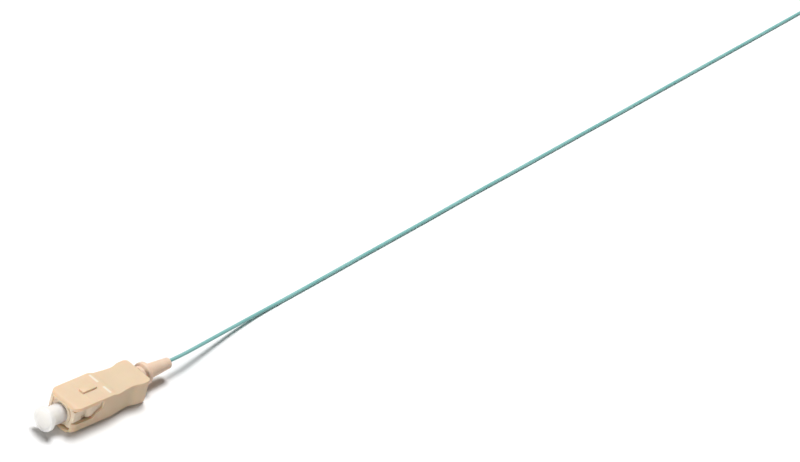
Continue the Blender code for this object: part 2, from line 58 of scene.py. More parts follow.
EYE = np.array([-441.251, -337.659, 425.317])
VIEW_RIGHT = np.array([0.63667, -0.7224, 0.26979])
VIEW_UP = np.array([0.2657, 0.53394, 0.80269])


def in_frame(points):
    """Millimetres from the sleeve's front, made metres in the object's own frame: shifted along the plug."""
    return (np.asarray(points, float) + [PLUG_FRONT, 0.0, 0.0]) / 1000.0


def new_object(name, data):
    """An object of that data, put into the scene."""
    thing = bpy.data.objects.new(name, data)
    bpy.context.scene.collection.objects.link(thing)
    return thing


def placing(right, up, back, at):
    """The matrix that turns an object's own axes to right, up and back and stands it at that place."""
    matrix = np.eye(4)
    matrix[:3] = np.column_stack([right, up, back, at])
    return Matrix(matrix.tolist())


camera = new_object("camera", bpy.data.cameras.new("camera"))
camera.data.lens = LENS
camera.data.sensor_width = SENSOR_WIDE
camera.data.clip_start = 0.01
camera.matrix_world = placing(VIEW_RIGHT, VIEW_UP, np.cross(VIEW_RIGHT, VIEW_UP), in_frame(EYE))
bpy.context.scene.camera = camera


# The fibre: glass in a tight buffer of aqua plastic, 0.9 mm across, extruded in one go. It leaves the boot,
# sinks to the table and crosses the picture in one slack line, and the rest of its metre is wound into a
# coil of nearly seven turns. Its far end is cut square, to be spliced.
FIBRE_WIDE = 0.9
INSIDE_BOOT = [(31.5, 0.5, 4.03), (33.8, 0.52, 4.14)]
ROUTE = [
    (36.2, 0.62, 4.40), (38.4, 0.72, 4.37), (41.1, 0.96, 4.20), (45.0, 1.50, 3.84), (49.3, 2.23, 3.34),
    (54.0, 3.07, 2.74), (63.5, 4.72, 1.60), (74.0, 6.21, 0.76), (84.0, 7.25, 0.48), (94.0, 8.17, 0.45),
    (104.2, 9.12, 0.45), (125.0, 11.1, 0.45), (147.0, 13.15, 0.45), (170.0, 15.4, 0.45),
    (193.5, 17.5, 0.45), (218.3, 19.8, 0.45), (244.5, 22.2, 0.45), (272.0, 24.8, 0.45),
    (300.0, 27.4, 0.45), (328.0, 30.0, 0.45), (356.6, 32.7, 0.45), (372.5, 34.2, 0.45),
]
ROUTE_POINTS = 150
ROUTE_CROWDING = 1.3
COIL_RADIUS = 15.0
COIL_ACROSS = 4
COIL_TURNS = 6.85
COIL_POINTS = 430
# The parts of a turn over which the winding climbs a layer, and over which it shifts by a width.
CLIMB = (0.58, 0.8)
SHIFT = (0.8, 1.0)
TIE_WALL = 0.4
TIE_ROOM = 0.3
UP = np.array([0.0, 0.0, 1.0])


def through(places, count, crowding, fineness=40):
    """One smooth curve through the places, each stretch a centripetal Catmull-Rom: straight lines between
    neighbours, blended twice by how far along they are. Each of its points lies at its share of the way to
    the power of the crowding, so they are closer together at the start."""
    ends = np.vstack([2 * places[0] - places[1], places, 2 * places[-1] - places[-2]])
    p0, p1, p2, p3 = ends[:-3, None], ends[1:-2, None], ends[2:-1, None], ends[3:, None]
    t1 = np.linalg.norm(p1 - p0, axis=2, keepdims=True) ** 0.5
    t2 = t1 + np.linalg.norm(p2 - p1, axis=2, keepdims=True) ** 0.5
    t3 = t2 + np.linalg.norm(p3 - p2, axis=2, keepdims=True) ** 0.5
    t = t1 + (t2 - t1) * np.linspace(0, 1, fineness, endpoint=False)[None, :, None]
    a1 = p0 * ((t1 - t) / t1) + p1 * (t / t1)
    a2 = p1 * ((t2 - t) / (t2 - t1)) + p2 * ((t - t1) / (t2 - t1))
    a3 = p2 * ((t3 - t) / (t3 - t2)) + p3 * ((t - t2) / (t3 - t2))
    b1 = a1 * ((t2 - t) / t2) + a2 * (t / t2)
    b2 = a2 * ((t3 - t) / (t3 - t1)) + a3 * ((t - t1) / (t3 - t1))
    dense = (b1 * ((t2 - t) / (t2 - t1)) + b2 * ((t - t1) / (t2 - t1))).reshape(-1, 3)
    dense = np.vstack([dense, places[-1]])
    reach = np.concatenate([[0.0], np.cumsum(np.linalg.norm(np.diff(dense, axis=0), axis=1))])
    at = reach[-1] * np.linspace(0, 1, count) ** crowding
    return np.stack([np.interp(at, reach, dense[:, i]) for i in range(3)], axis=1)


def ramp(value, start, end):
    """0 before start, 1 after end, and an S curve between: 3 s squared less 2 s cubed."""
    s = np.clip((value - start) / (end - start), 0.0, 1.0)
    return s * s * (3.0 - 2.0 * s)


route = np.array(ROUTE)
heading = np.append((route[-1] - route[-2])[:2], 0.0)
heading /= np.linalg.norm(heading)
rightward = np.array([heading[1], -heading[0], 0.0])
coil_half = COIL_ACROSS * FIBRE_WIDE / 2
coil_outer = COIL_RADIUS + coil_half
coil_beside = coil_outer - FIBRE_WIDE / 2
coil_beyond = math.sqrt((coil_outer + TIE_ROOM) ** 2 - (coil_beside - FIBRE_WIDE / 2) ** 2)
coil_centre = np.append((route[-1] + heading * coil_beyond + rightward * coil_beside)[:2], 0.0)
coil_lean = math.asin((TIE_WALL + TIE_ROOM) / (2 * COIL_RADIUS + coil_half))


def wound(turns):
    """The coil's winding at each turn count: circles that step in by a width at the end of each turn of the
    lower layer, then climb onto it and step out again. The coil leans up from the lead to the tie, which
    lies under it on the other side."""
    whole = np.floor(turns)
    part = turns - whole
    climb = ramp(part, *CLIMB)
    shift = ramp(part, *SHIFT)
    lower = whole < COIL_ACROSS
    inward = whole + shift * np.where(whole < COIL_ACROSS - 1, 1, -1)
    step = np.where(lower, inward, 2 * COIL_ACROSS - 2 - whole - shift)
    layer = np.where(lower, np.where(whole == COIL_ACROSS - 1, climb, 0.0), 1.0)
    radius = coil_beside - FIBRE_WIDE * step
    angle = 2 * np.pi * turns
    sideways = -radius * np.cos(angle)
    height = FIBRE_WIDE * (0.5 + layer) + (coil_outer + sideways) * math.sin(coil_lean)
    flat = coil_centre + sideways[:, None] * rightward + (radius * np.sin(angle))[:, None] * heading
    return flat + height[:, None] * UP


fibre_line = np.vstack([
    through(np.vstack([INSIDE_BOOT, route]), ROUTE_POINTS, ROUTE_CROWDING),
    wound(np.linspace(0.0, COIL_TURNS, COIL_POINTS)),
])
curve = bpy.data.curves.new("buffered_fibre", "CURVE")
curve.dimensions = "3D"
curve.bevel_depth = FIBRE_WIDE / 2000.0
curve.bevel_resolution = 4
curve.use_fill_caps = True
spline = curve.splines.new("POLY")
spline.points.add(len(fibre_line) - 1)
spline.points.foreach_set("co", np.column_stack([in_frame(fibre_line), np.ones(len(fibre_line))]).ravel())
buffered_fibre = new_object("buffered_fibre", curve)


class Wire:
    """One socket of a finish's node tree. Arithmetic on it, with numbers or wires, adds Math nodes."""

    def __init__(self, finish, socket):
        self.finish = finish
        self.socket = socket

    def reckon(self, operation, *values):
        """A Math node of that operation on the values, in their order."""
        return self.finish.add("ShaderNodeMath", {"operation": operation}, dict(enumerate(values)))

    def __add__(self, other):
        return self.reckon("ADD", self, other)

    __radd__ = __add__

    def __sub__(self, other):
        return self.reckon("SUBTRACT", self, other)

    def __rsub__(self, other):
        return self.reckon("SUBTRACT", other, self)

    def __mul__(self, other):
        return self.reckon("MULTIPLY", self, other)

    __rmul__ = __mul__

    def __pow__(self, other):
        return self.reckon("POWER", self, other)

    def __rpow__(self, other):
        return self.reckon("POWER", other, self)

    def __abs__(self):
        return self.reckon("ABSOLUTE", self)

    def between(self, low, high):
        """0 at low and 1 at high, with an S curve between; low may be the larger."""
        return self.finish.add("ShaderNodeMapRange", {"interpolation_type": "SMOOTHSTEP"},
                               {"Value": self, "From Min": low, "From Max": high})

    def within(self, middle, half, fade):
        """1 up to half from the middle and 0 past it, faded by that much on both sides."""
        return abs(self - middle).between(half + fade, half - fade)


class Finish:
    """A material named for what it finishes, with one Principled shader."""

    def __init__(self, name, **constants):
        self.material = bpy.data.materials.new(name)
        self.material.use_nodes = True
        self.tree = self.material.node_tree
        self.shader = self.tree.nodes["Principled BSDF"]
        for socket, value in constants.items():
            self.shader.inputs[socket.replace("_", " ")].default_value = value

    def add(self, kind, settings=None, sockets=None, out=0):
        """Adds a node: its settings, then its sockets' values or wires. Returns the wire of one output."""
        node = self.tree.nodes.new(kind)
        for key, value in (settings or {}).items():
            setattr(node, key, value)
        for key, value in (sockets or {}).items():
            if isinstance(value, Wire):
                self.tree.links.new(value.socket, node.inputs[key])
            else:
                node.inputs[key].default_value = value
        return Wire(self, node.outputs[out])

    def place(self):
        """Where a point of the piece is, by its object coordinates, in metres."""
        return self.add("ShaderNodeTexCoord", out="Object")

    def apart(self, where):
        """The three coordinates of a place: along the plug, across it and up."""
        node = self.add("ShaderNodeSeparateXYZ", sockets={"Vector": where}).socket.node
        return [Wire(self, output) for output in node.outputs]

    def grain(self, where, size_mm, detail=3.0, roughness=0.5):
        """Noise from 0 to 1 whose lumps are about that many millimetres across."""
        return self.add("ShaderNodeTexNoise", sockets={
            "Vector": where, "Scale": 1000.0 / size_mm, "Detail": detail, "Roughness": roughness})

    def blend(self, share, first, second):
        """The first colour where the share is 0 and the second where it is 1. A Mix node has its share at
        socket 0, its colours at 6 and 7, and the colour that comes of them at output 2."""
        first, second = (shade if isinstance(shade, Wire) else (*shade, 1.0) for shade in (first, second))
        return self.add("ShaderNodeMix", {"data_type": "RGBA"}, {0: share, 6: first, 7: second}, out=2)

    def feed(self, socket, wire):
        """Links a wire to one of the shader's sockets."""
        self.tree.links.new(wire.socket, self.shader.inputs[socket])

    def relief(self, height, depth_mm):
        """Height from 0 to 1, as a bump that many millimetres deep."""
        self.feed("Normal", self.add("ShaderNodeBump", sockets={
            "Height": height, "Distance": depth_mm / 1000.0, "Strength": 1.0}))


AQUA = (0.22, 0.51, 0.485)
AQUA_PALE = (0.27, 0.56, 0.535)
aqua = Finish("aqua_buffer", Specular_IOR_Level=0.45)
where = aqua.place()
cloud = aqua.grain(where, size_mm=14.0, detail=2.0).between(0.35, 0.65)
aqua.feed("Base Color", aqua.blend(cloud, AQUA, AQUA_PALE))
aqua.feed("Roughness", 0.36 + 0.14 * aqua.grain(where, size_mm=1.5))
aqua.relief(aqua.grain(where, size_mm=0.5, detail=2.0), depth_mm=0.008)
curve.materials.append(aqua.material)
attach(buffered_fibre, "plug")
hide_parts("fibre_lead", "fibre_coil")


# The coil's tie: a flat white strap of soft plastic, wrapped once round the turns and lapped over its own
# end on top, where it is welded.
TIE_WIDE = 5.0
TIE_THICK = 0.36
TIE_CORNER = 0.8
TIE_LAPS = 1.22
TIE_POINTS = 220
LAP_RISE = (0.93, 1.05)
LAP_GAP = 0.02
STRAP_POINTS = 24
MERGE_GAP = 1e-8
NO_LENGTH = 1e-9


def box_loop(half_wide, low, high, corner, laps, count):
    """Points round a box with round corners, from the middle of its top: the heading turns evenly along each
    corner's arc and the steps are added up. Returns points, outward directions and laps made."""
    level = (half_wide - corner) * 2.0
    upright = high - low - 2 * corner
    arc = np.pi / 2 * corner
    lengths = [level / 2, arc, upright, arc, level, arc, upright, arc, level / 2]
    marks = np.concatenate([[0.0], np.cumsum(lengths)])
    turned_by = np.array([0, 0, 1, 1, 2, 2, 3, 3, 4, 4]) * np.pi / 2
    run = np.linspace(0.0, laps, count) * marks[-1]
    lap, rest = np.divmod(run, marks[-1])
    angle = np.interp(rest, marks, turned_by)
    step = np.diff(run, prepend=0.0)
    travel = np.stack([np.cos(angle), -np.sin(angle)], axis=1)
    middle = (travel[1:] + travel[:-1]) / 2
    points = np.vstack([[0.0, high], [0.0, high] + np.cumsum(middle * step[1:, None], axis=0)])
    return points, np.stack([np.sin(angle), np.cos(angle)], axis=1), lap + rest / marks[-1]


def squared(wave, power):
    """A sine or cosine whose size is raised to a power and whose sign is kept. The lower the power, the
    squarer the oval that it draws."""
    return np.sign(wave) * np.abs(wave) ** power


def skin(name, grid, round_columns=True, round_rows=False, ends=False):
    """A mesh over a grid of points: a quad between each point, its neighbour in the row and the two beside
    them in the next row. Rows or columns may close on themselves, and a face may close each end row."""
    rows, columns = grid.shape[:2]
    index = np.arange(rows * columns).reshape(rows, columns)
    here, there = (index, np.roll(index, -1, axis=0)) if round_rows else (index[:-1], index[1:])
    quads = np.stack([here, there, np.roll(there, -1, axis=1), np.roll(here, -1, axis=1)], axis=-1)
    if not round_columns:
        quads = quads[:, :-1]
    faces = quads.reshape(-1, 4).tolist()
    if ends:
        faces += [index[0].tolist(), index[-1][::-1].tolist()]
    mesh = bpy.data.meshes.new(name)
    mesh.from_pydata(in_frame(grid.reshape(-1, 3)).tolist(), [], faces)
    tidy = bmesh.new()
    tidy.from_mesh(mesh)
    bmesh.ops.remove_doubles(tidy, verts=tidy.verts, dist=MERGE_GAP)
    bmesh.ops.dissolve_degenerate(tidy, dist=NO_LENGTH, edges=tidy.edges)
    bmesh.ops.recalc_face_normals(tidy, faces=tidy.faces)
    tidy.to_mesh(mesh)
    tidy.free()
    return new_object(name, mesh)


def fit_out(piece, finish, body, node, sharp=35.0):
    """Smooths the piece between its sharp edges, gives it its finish and sets it on its body, in place of
    its node."""
    piece.data.shade_smooth()
    piece.data.set_sharp_from_angle(angle=math.radians(sharp))
    piece.data.materials.clear()
    piece.data.materials.append(finish.material)
    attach(piece, body)
    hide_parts(node)


loop, outward, laps = box_loop(
    half_wide=coil_half + TIE_ROOM + TIE_WALL / 2, low=TIE_WALL / 2,
    high=TIE_WALL * 1.5 + 2 * FIBRE_WIDE + 2 * TIE_ROOM, corner=TIE_CORNER, laps=TIE_LAPS, count=TIE_POINTS)
loop = loop + outward * (ramp(laps, *LAP_RISE) * (TIE_THICK + LAP_GAP))[:, None]
rim = np.linspace(0, 2 * np.pi, STRAP_POINTS, endpoint=False)
strap_across = (TIE_WIDE / 2 - TIE_THICK / 2) * squared(np.cos(rim), 0.2)
strap_out = TIE_THICK / 2 * squared(np.sin(rim), 0.7)
radial = COIL_RADIUS + loop[:, None, 0] + outward[:, None, 0] * strap_out[None, :]
height = loop[:, None, 1] + outward[:, None, 1] * strap_out[None, :]
strap = (coil_centre + radial[..., None] * rightward
         + (strap_across[None, :, None] * np.ones((len(loop), 1, 1))) * heading
         + height[..., None] * UP)
tie = skin("coil_strap", strap, ends=True)

STRAP_WHITE = (0.79, 0.80, 0.81)
STRAP_DEEP = (0.70, 0.71, 0.72)
soft_white = Finish("white_strap", Subsurface_Weight=0.25, Subsurface_Radius=(0.4, 0.4, 0.4),
                    Subsurface_Scale=0.001)
where = soft_white.place()
cloud = soft_white.grain(where, size_mm=1.2)
soft_white.feed("Base Color", soft_white.blend(cloud, STRAP_DEEP, STRAP_WHITE))
soft_white.feed("Roughness", 0.42 + 0.2 * cloud)
soft_white.relief(soft_white.grain(where, size_mm=0.25), depth_mm=0.015)
fit_out(tie, soft_white, "plug", "coil_tie")


# The coupling sleeve: one moulding in beige polyester with a fine spark-eroded texture. Its nose is rounded
# to find the adapter, a key stands on its top, each side has a window open to the front, and behind the
# waist its tail flares for the fingers. Two white index marks are painted across its top.
AXIS = 3.7
SLEEVE_LONG = 25.0
EVEN_PART = (2.4, 23.4)
WAIST_STOPS, WAIST_HALVES = (12.2, 19.3, 22.3), (4.5, 3.87, 4.4)
TOP_STOPS, TOP_LEVELS = (11.9, 14.5), (3.7, 3.08)
BOTTOM_LEVEL = -3.7
BOTTOM_CHAMFER = 0.72
# Each face is drawn in by a round at its nose and one at its rear: the radius, and the most it draws in.
SIDE_ROUNDS = ((2.2, 1.55), (1.4, 0.95))
TOP_ROUNDS = ((1.1, 0.6), (0.4, 0.35))
BOTTOM_ROUNDS = ((0.6, 0.2), (0.4, 0.35))
LONG_EDGE_ROUNDS = [0.3, 0.18, 0.18, 0.3, 0.3, 0.3]
SLEEVE_EDGE = 0.1


def eased(corners, radii, steps, most=0.49):
    """Rounds each corner of closed outlines. A corner's arc touches both its sides at the radius over the
    tangent of half its angle, or at that share of the shorter side if it is less, and its points turn from
    one touching point to the other about its centre."""
    back = np.roll(corners, 1, axis=-2) - corners
    on = np.roll(corners, -1, axis=-2) - corners
    back_long = np.linalg.norm(back, axis=-1, keepdims=True)
    on_long = np.linalg.norm(on, axis=-1, keepdims=True)
    back, on = back / back_long, on / on_long
    half = np.arccos(np.clip((back * on).sum(-1, keepdims=True), -1, 1)) / 2
    touch = np.minimum(np.asarray(radii)[..., None] / np.tan(half), most * np.minimum(back_long, on_long))
    radius = touch * np.tan(half)
    middle = back + on
    long = np.maximum(np.linalg.norm(middle, axis=-1, keepdims=True), 1e-9)
    centre = corners + middle / long * radius / np.maximum(np.sin(half), 1e-9)
    first, last = corners + back * touch - centre, corners + on * touch - centre
    swing = np.maximum(np.pi - 2 * half, 1e-6)[..., None]
    s = np.linspace(0, 1, steps)[:, None]
    arc = np.sin((1 - s) * swing) * first[..., None, :] + np.sin(s * swing) * last[..., None, :]
    arc = centre[..., None, :] + arc / np.sin(swing)
    return arc.reshape(*corners.shape[:-2], -1, 2)


def swell(along, stops, values):
    """A size along the plug that goes from value to value in S curves between the stops."""
    size = np.full_like(along, values[0])
    for start, end, low, high in zip(stops, stops[1:], values, values[1:]):
        size += (high - low) * ramp(along, start, end)
    return size


def drawn_in(distance, radius, most):
    """How far a surface is drawn in at a distance from its end, by a round of that radius: the radius less
    the root of its square less the square of what is left of it, and never over the most."""
    left = np.clip(radius - distance, 0, radius)
    return np.minimum(most, radius - np.sqrt(radius**2 - left**2))


def both_ends(stations, nose, rear):
    """How far a face of the sleeve is drawn in, by a round at its nose and one at its rear."""
    return drawn_in(stations, *nose) + drawn_in(SLEEVE_LONG - stations, *rear)


def bar(name, stations, sections):
    """A solid along the plug: at each station stands its section, an outline across and up from the axis."""
    columns = sections.shape[1]
    along = np.broadcast_to(np.asarray(stations, float)[:, None, None], (len(stations), columns, 1))
    grid = np.concatenate([along, sections[..., :1], sections[..., 1:] + AXIS], axis=2)
    return skin(name, grid, ends=True)


def oblong(right, left, low, high):
    """The corners of an upright rectangle, across and up."""
    return np.array([(left, low), (left, high), (right, high), (right, low)])


def block(name, low, high, corner, steps=4):
    """A bar along the plug with round long edges, between two corners given from the axis."""
    section = eased(oblong(low[1], high[1], low[2], high[2]), [corner] * 4, steps)
    return bar(name, [low[0], high[0]], np.stack([section, section]))


def settle(piece):
    """Makes the piece's modifiers part of its mesh."""
    shaped = bpy.data.meshes.new_from_object(piece.evaluated_get(bpy.context.evaluated_depsgraph_get()))
    piece.modifiers.clear()
    piece.data = shaped


def work(piece, tool, operation):
    """Cuts the tool from the piece or joins it on, for good, and does away with the tool."""
    modifier = piece.modifiers.new(operation, "BOOLEAN")
    modifier.operation = operation
    modifier.solver = "EXACT"
    modifier.object = tool
    settle(piece)
    bpy.data.objects.remove(tool, do_unlink=True)


def soften(piece, width_mm, angle=38.0, segments=2):
    """Rounds the piece's edges that turn by more than the angle."""
    modifier = piece.modifiers.new("soften", "BEVEL")
    modifier.width = width_mm / 1000.0
    modifier.segments = segments
    modifier.limit_method = "ANGLE"
    modifier.angle_limit = math.radians(angle)
    settle(piece)


nose_round, rear_round = SIDE_ROUNDS[0][0], SIDE_ROUNDS[1][0]
nose = nose_round - nose_round * np.cos(np.linspace(0, np.pi / 2, 26))
rear = rear_round * np.sin(np.linspace(0, np.pi / 2, 14))
stations = np.concatenate([nose, np.linspace(*EVEN_PART, 90), SLEEVE_LONG - rear_round + rear])
half_wide = swell(stations, WAIST_STOPS, WAIST_HALVES) - both_ends(stations, *SIDE_ROUNDS)
top = swell(stations, TOP_STOPS, TOP_LEVELS) - both_ends(stations, *TOP_ROUNDS)
bottom = BOTTOM_LEVEL + both_ends(stations, *BOTTOM_ROUNDS)
corners = np.stack([
    np.stack([half_wide, bottom + BOTTOM_CHAMFER], 1), np.stack([half_wide, top], 1),
    np.stack([-half_wide, top], 1), np.stack([-half_wide, bottom + BOTTOM_CHAMFER], 1),
    np.stack([-half_wide + BOTTOM_CHAMFER, bottom], 1), np.stack([half_wide - BOTTOM_CHAMFER, bottom], 1),
], axis=1)
sleeve = bar("sleeve_moulding", stations, eased(corners, LONG_EDGE_ROUNDS, 6))

KEY_LOW, KEY_HIGH = (5.8, -0.8, 2.9), (10.3, 0.8, 4.2)
KEY_ROUND = 0.22
KEY_EDGE = 0.16
key = block("key", KEY_LOW, KEY_HIGH, KEY_ROUND, steps=5)
soften(key, KEY_EDGE, segments=3)
work(sleeve, key, "UNION")

PASSAGES = [
    ("passage_head", (-1.0, -3.6, -3.0), (10.4, 3.6, 3.0), 0.5),
    ("passage_tail", (9.4, -3.3, -2.5), (21.5, 3.3, 2.5), 0.4),
    ("mouth", (20.5, -3.4, -2.55), (26.0, 3.4, 2.55), 0.5),
]
for name, low, high, corner in PASSAGES:
    work(sleeve, block(name, low, high, corner), "DIFFERENCE")

LEAD_IN_ALONG = (-0.5, 0.55)
LEAD_IN_HALF = 3.0
LEAD_IN_LEVELS = (-3.8, -2.95)
lead_in = np.stack([oblong(-LEAD_IN_HALF, LEAD_IN_HALF, low, 0.0) for low in LEAD_IN_LEVELS])
work(sleeve, bar("lead_in", LEAD_IN_ALONG, lead_in), "DIFFERENCE")

WINDOW = np.array([(-1.0, -0.9), (6.5, -0.9), (9.4, 1.0), (9.4, 2.8), (-1.0, 2.8)])
WINDOW_CORNERS = [0.0, 0.8, 0.4, 0.35, 0.0]
WINDOW_REACH = 6.0
outline = eased(WINDOW, WINDOW_CORNERS, 6)
window_grid = np.stack([np.column_stack([outline[:, 0], np.full(len(outline), y), outline[:, 1] + AXIS])
                        for y in (-WINDOW_REACH, WINDOW_REACH)])
work(sleeve, skin("window", window_grid, ends=True), "DIFFERENCE")
soften(sleeve, SLEEVE_EDGE)

BEIGE = (0.80, 0.61, 0.43)
BEIGE_DEEP = (0.77, 0.58, 0.40)
MARK_WHITE = (0.86, 0.78, 0.67)
MARK_ALONG = 12.1
MARK_HALF = 0.34
MARK_SPANS = ((0.8, 3.7), (-3.55, -1.0))
MARK_FADE = 0.2
SPAN_FADE = 0.1
TOP_FACE = (6.2, 6.4)
beige = Finish("beige_moulding", Specular_IOR_Level=0.15, Subsurface_Weight=0.5,
               Subsurface_Radius=(1.0, 0.4, 0.2), Subsurface_Scale=0.0016)
where = beige.place()
along, across, above = beige.apart(where)
mark = (along * 1000.0).within(MARK_ALONG + PLUG_FRONT, MARK_HALF, MARK_FADE)
spans = [(across * 1000.0).within((low + high) / 2, (high - low) / 2, SPAN_FADE)
         for low, high in MARK_SPANS]
mark = mark * (spans[0] + spans[1]) * (above * 1000.0).between(*TOP_FACE)
cloud = beige.grain(where, size_mm=5.0, detail=2.0).between(0.3, 0.7)
speck = beige.grain(where, size_mm=0.16, detail=4.0, roughness=0.6)
plain = beige.blend(cloud * 0.6 + speck * 0.4, BEIGE_DEEP, BEIGE)
beige.feed("Base Color", beige.blend(mark, plain, MARK_WHITE))
beige.feed("Roughness", 0.46 + 0.12 * speck + 0.1 * mark)
beige.relief(speck * 0.7 + 0.6 * mark, depth_mm=0.02)
fit_out(sleeve, beige, "sleeve", "coupling_sleeve")


# The plug frame: the inner moulding that the sleeve slides on, in a paler beige. A round boss and a head
# stand round the bore at the front, a guide block and a latch block look out of the window on each side,
# and a slimmer tail holds the spring.
HEAD_ALONG = (0.8, 10.3)
HEAD_HALF_WIDE, HEAD_HALF_HIGH = 3.4, 2.8
HEAD_CORNER = 0.9
HEAD_NOSE = 0.3
TAIL_LOW, TAIL_HIGH = (9.8, -3.1, -2.3), (20.1, 3.1, 2.3)
TAIL_CORNER = 0.5
BOSS = [(0.38, 0.0), (0.38, 2.95), (1.6, 2.95), (1.6, 0.0)]
BOSS_ROUNDS = [0.0, 0.25, 0.0, 0.0]
BORE = [(-1.0, 0.0), (-1.0, 2.33), (7.8, 2.33), (7.8, 1.45), (8.8, 1.45), (8.8, 1.95), (21.0, 1.95),
        (21.0, 0.0)]
FRAME_EDGE = 0.08


def turned(name, outline, radii=None, steps=5, segments=112, shift=(0.0, 0.0)):
    """A turned or moulded round piece: its outline, along and out from the axis, with each corner rounded by
    its radius, is carried once round the axis, which may be shifted across and up."""
    outline = np.array(outline, float)
    if radii is not None:
        outline = eased(outline, np.asarray(radii, float), steps)
    angle = np.linspace(0, 2 * np.pi, segments, endpoint=False)
    along = np.broadcast_to(outline[None, :, 0], (segments, len(outline)))
    grid = np.stack([along, np.cos(angle)[:, None] * outline[None, :, 1] + shift[0],
                     np.sin(angle)[:, None] * outline[None, :, 1] + AXIS + shift[1]], axis=2)
    return skin(name, grid, round_rows=True)


def side_block(side, along, inner, reach, low, high):
    """A block on one side of the frame: a rectangle at each station, from inner to reach and low to high."""
    along, reach, low = (np.broadcast_to(np.asarray(v, float), len(along)) for v in (along, reach, low))
    inner, high = np.full(len(along), inner), np.full(len(along), high)
    ring = np.stack([np.stack([side * inner, low], 1), np.stack([side * reach, low], 1),
                     np.stack([side * reach, high], 1), np.stack([side * inner, high], 1)], axis=1)
    return bar("side_block", along, ring)


quarter = np.linspace(0, np.pi / 2, 7)
head_nose = HEAD_NOSE - HEAD_NOSE * np.cos(quarter)
head_stations = np.append(HEAD_ALONG[0] + head_nose, HEAD_ALONG[1])
head_inset = np.append(drawn_in(head_nose, HEAD_NOSE, HEAD_NOSE), 0.0)
head_outline = oblong(-HEAD_HALF_WIDE, HEAD_HALF_WIDE, -HEAD_HALF_HIGH, HEAD_HALF_HIGH)
head_sections = np.stack([eased(head_outline - np.sign(head_outline) * inset, [HEAD_CORNER - inset] * 4, 9)
                          for inset in head_inset])
plug_frame = bar("frame_moulding", head_stations, head_sections)
work(plug_frame, block("frame_tail", TAIL_LOW, TAIL_HIGH, TAIL_CORNER), "UNION")
work(plug_frame, turned("boss", BOSS, BOSS_ROUNDS, steps=6), "UNION")

SIDE_REACH = 4.0
GUIDE_ALONG = (0.8, 3.1)
GUIDE_ROUND = 0.3
GUIDE_INNER, GUIDE_LOW, GUIDE_HIGH = 3.1, -0.4, 2.5
LATCH_ALONG = [4.3, 5.5, 6.5, 9.2]
LATCH_REACH = [3.1, SIDE_REACH, SIDE_REACH, SIDE_REACH]
LATCH_LOW = [-0.6, -0.6, -0.6, 1.12]
LATCH_INNER, LATCH_HIGH = 2.8, 2.3
guide_along = np.append(GUIDE_ALONG[0] - GUIDE_ROUND * np.cos(quarter), GUIDE_ALONG[1])
guide_reach = np.append(SIDE_REACH - GUIDE_ROUND + GUIDE_ROUND * np.sin(quarter), SIDE_REACH)
for side in (1, -1):
    guide = side_block(side, guide_along, GUIDE_INNER, guide_reach, GUIDE_LOW, GUIDE_HIGH)
    work(plug_frame, guide, "UNION")
    latch = side_block(side, LATCH_ALONG, LATCH_INNER, LATCH_REACH, LATCH_LOW, LATCH_HIGH)
    work(plug_frame, latch, "UNION")
work(plug_frame, turned("bore", BORE), "DIFFERENCE")
soften(plug_frame, FRAME_EDGE)

CREAM = (0.87, 0.72, 0.56)
CREAM_DEEP = (0.84, 0.68, 0.51)
cream = Finish("cream_moulding", Subsurface_Weight=0.3, Subsurface_Radius=(1.0, 0.7, 0.5),
               Subsurface_Scale=0.0012)
where = cream.place()
cloud = cream.grain(where, size_mm=3.0, detail=2.0).between(0.3, 0.7)
speck = cream.grain(where, size_mm=0.2, detail=4.0, roughness=0.6)
cream.feed("Base Color", cream.blend(cloud, CREAM_DEEP, CREAM))
cream.feed("Roughness", 0.36 + 0.12 * speck)
cream.relief(speck, depth_mm=0.01)
fit_out(plug_frame, cream, "plug", "plug_frame")


# The ferrule: a polished zirconia pin of 2.5 mm with a chamfered, slightly domed tip, and the end of the
# glass in its middle.
FERRULE_FRONT, FERRULE_BACK = 0.9, 10.5
FERRULE_RADIUS = 1.25
TIP_RADIUS = 0.85
TIP_CURVE = 0.03
TIP_CHAMFER = [(1.25, 1.15), (1.45, FERRULE_RADIUS)]
BACK_CHAMFER = 0.1
dome = np.linspace(0.0, TIP_RADIUS, 7)
tip = np.column_stack([FERRULE_FRONT + dome**2 * TIP_CURVE, dome])
shank = [*TIP_CHAMFER, (FERRULE_BACK - BACK_CHAMFER, FERRULE_RADIUS),
         (FERRULE_BACK, FERRULE_RADIUS - BACK_CHAMFER), (FERRULE_BACK, 0.0)]
ferrule = turned("ferrule_pin", np.vstack([tip, shank]))

ZIRCONIA = (0.90, 0.90, 0.88)
ZIRCONIA_DEEP = (0.84, 0.84, 0.81)
GLASS_DARK = (0.10, 0.12, 0.13)
GLASS_EDGE = (0.075, 0.055)
TIP_DEEP, TIP_SHALLOW = 0.2, 0.1
zirconia = Finish("zirconia", Specular_IOR_Level=0.8, Subsurface_Weight=0.15,
                  Subsurface_Radius=(0.6, 0.6, 0.6), Subsurface_Scale=0.0008)
where = zirconia.place()
along, across, above = zirconia.apart(where)
out = (across ** 2.0 + (above - AXIS / 1000.0) ** 2.0) ** 0.5 * 1000.0
tip_face = FERRULE_FRONT + PLUG_FRONT
at_tip = (along * 1000.0).between(tip_face + TIP_DEEP, tip_face + TIP_SHALLOW)
glass = out.between(*GLASS_EDGE) * at_tip
white_zirconia = zirconia.blend(zirconia.grain(where, size_mm=0.8), ZIRCONIA_DEEP, ZIRCONIA)
zirconia.feed("Base Color", zirconia.blend(glass, white_zirconia, GLASS_DARK))
zirconia.feed("Roughness", 0.08 + 0.08 * zirconia.grain(where, size_mm=0.3))
fit_out(ferrule, zirconia, "ferrule_group", "ferrule")


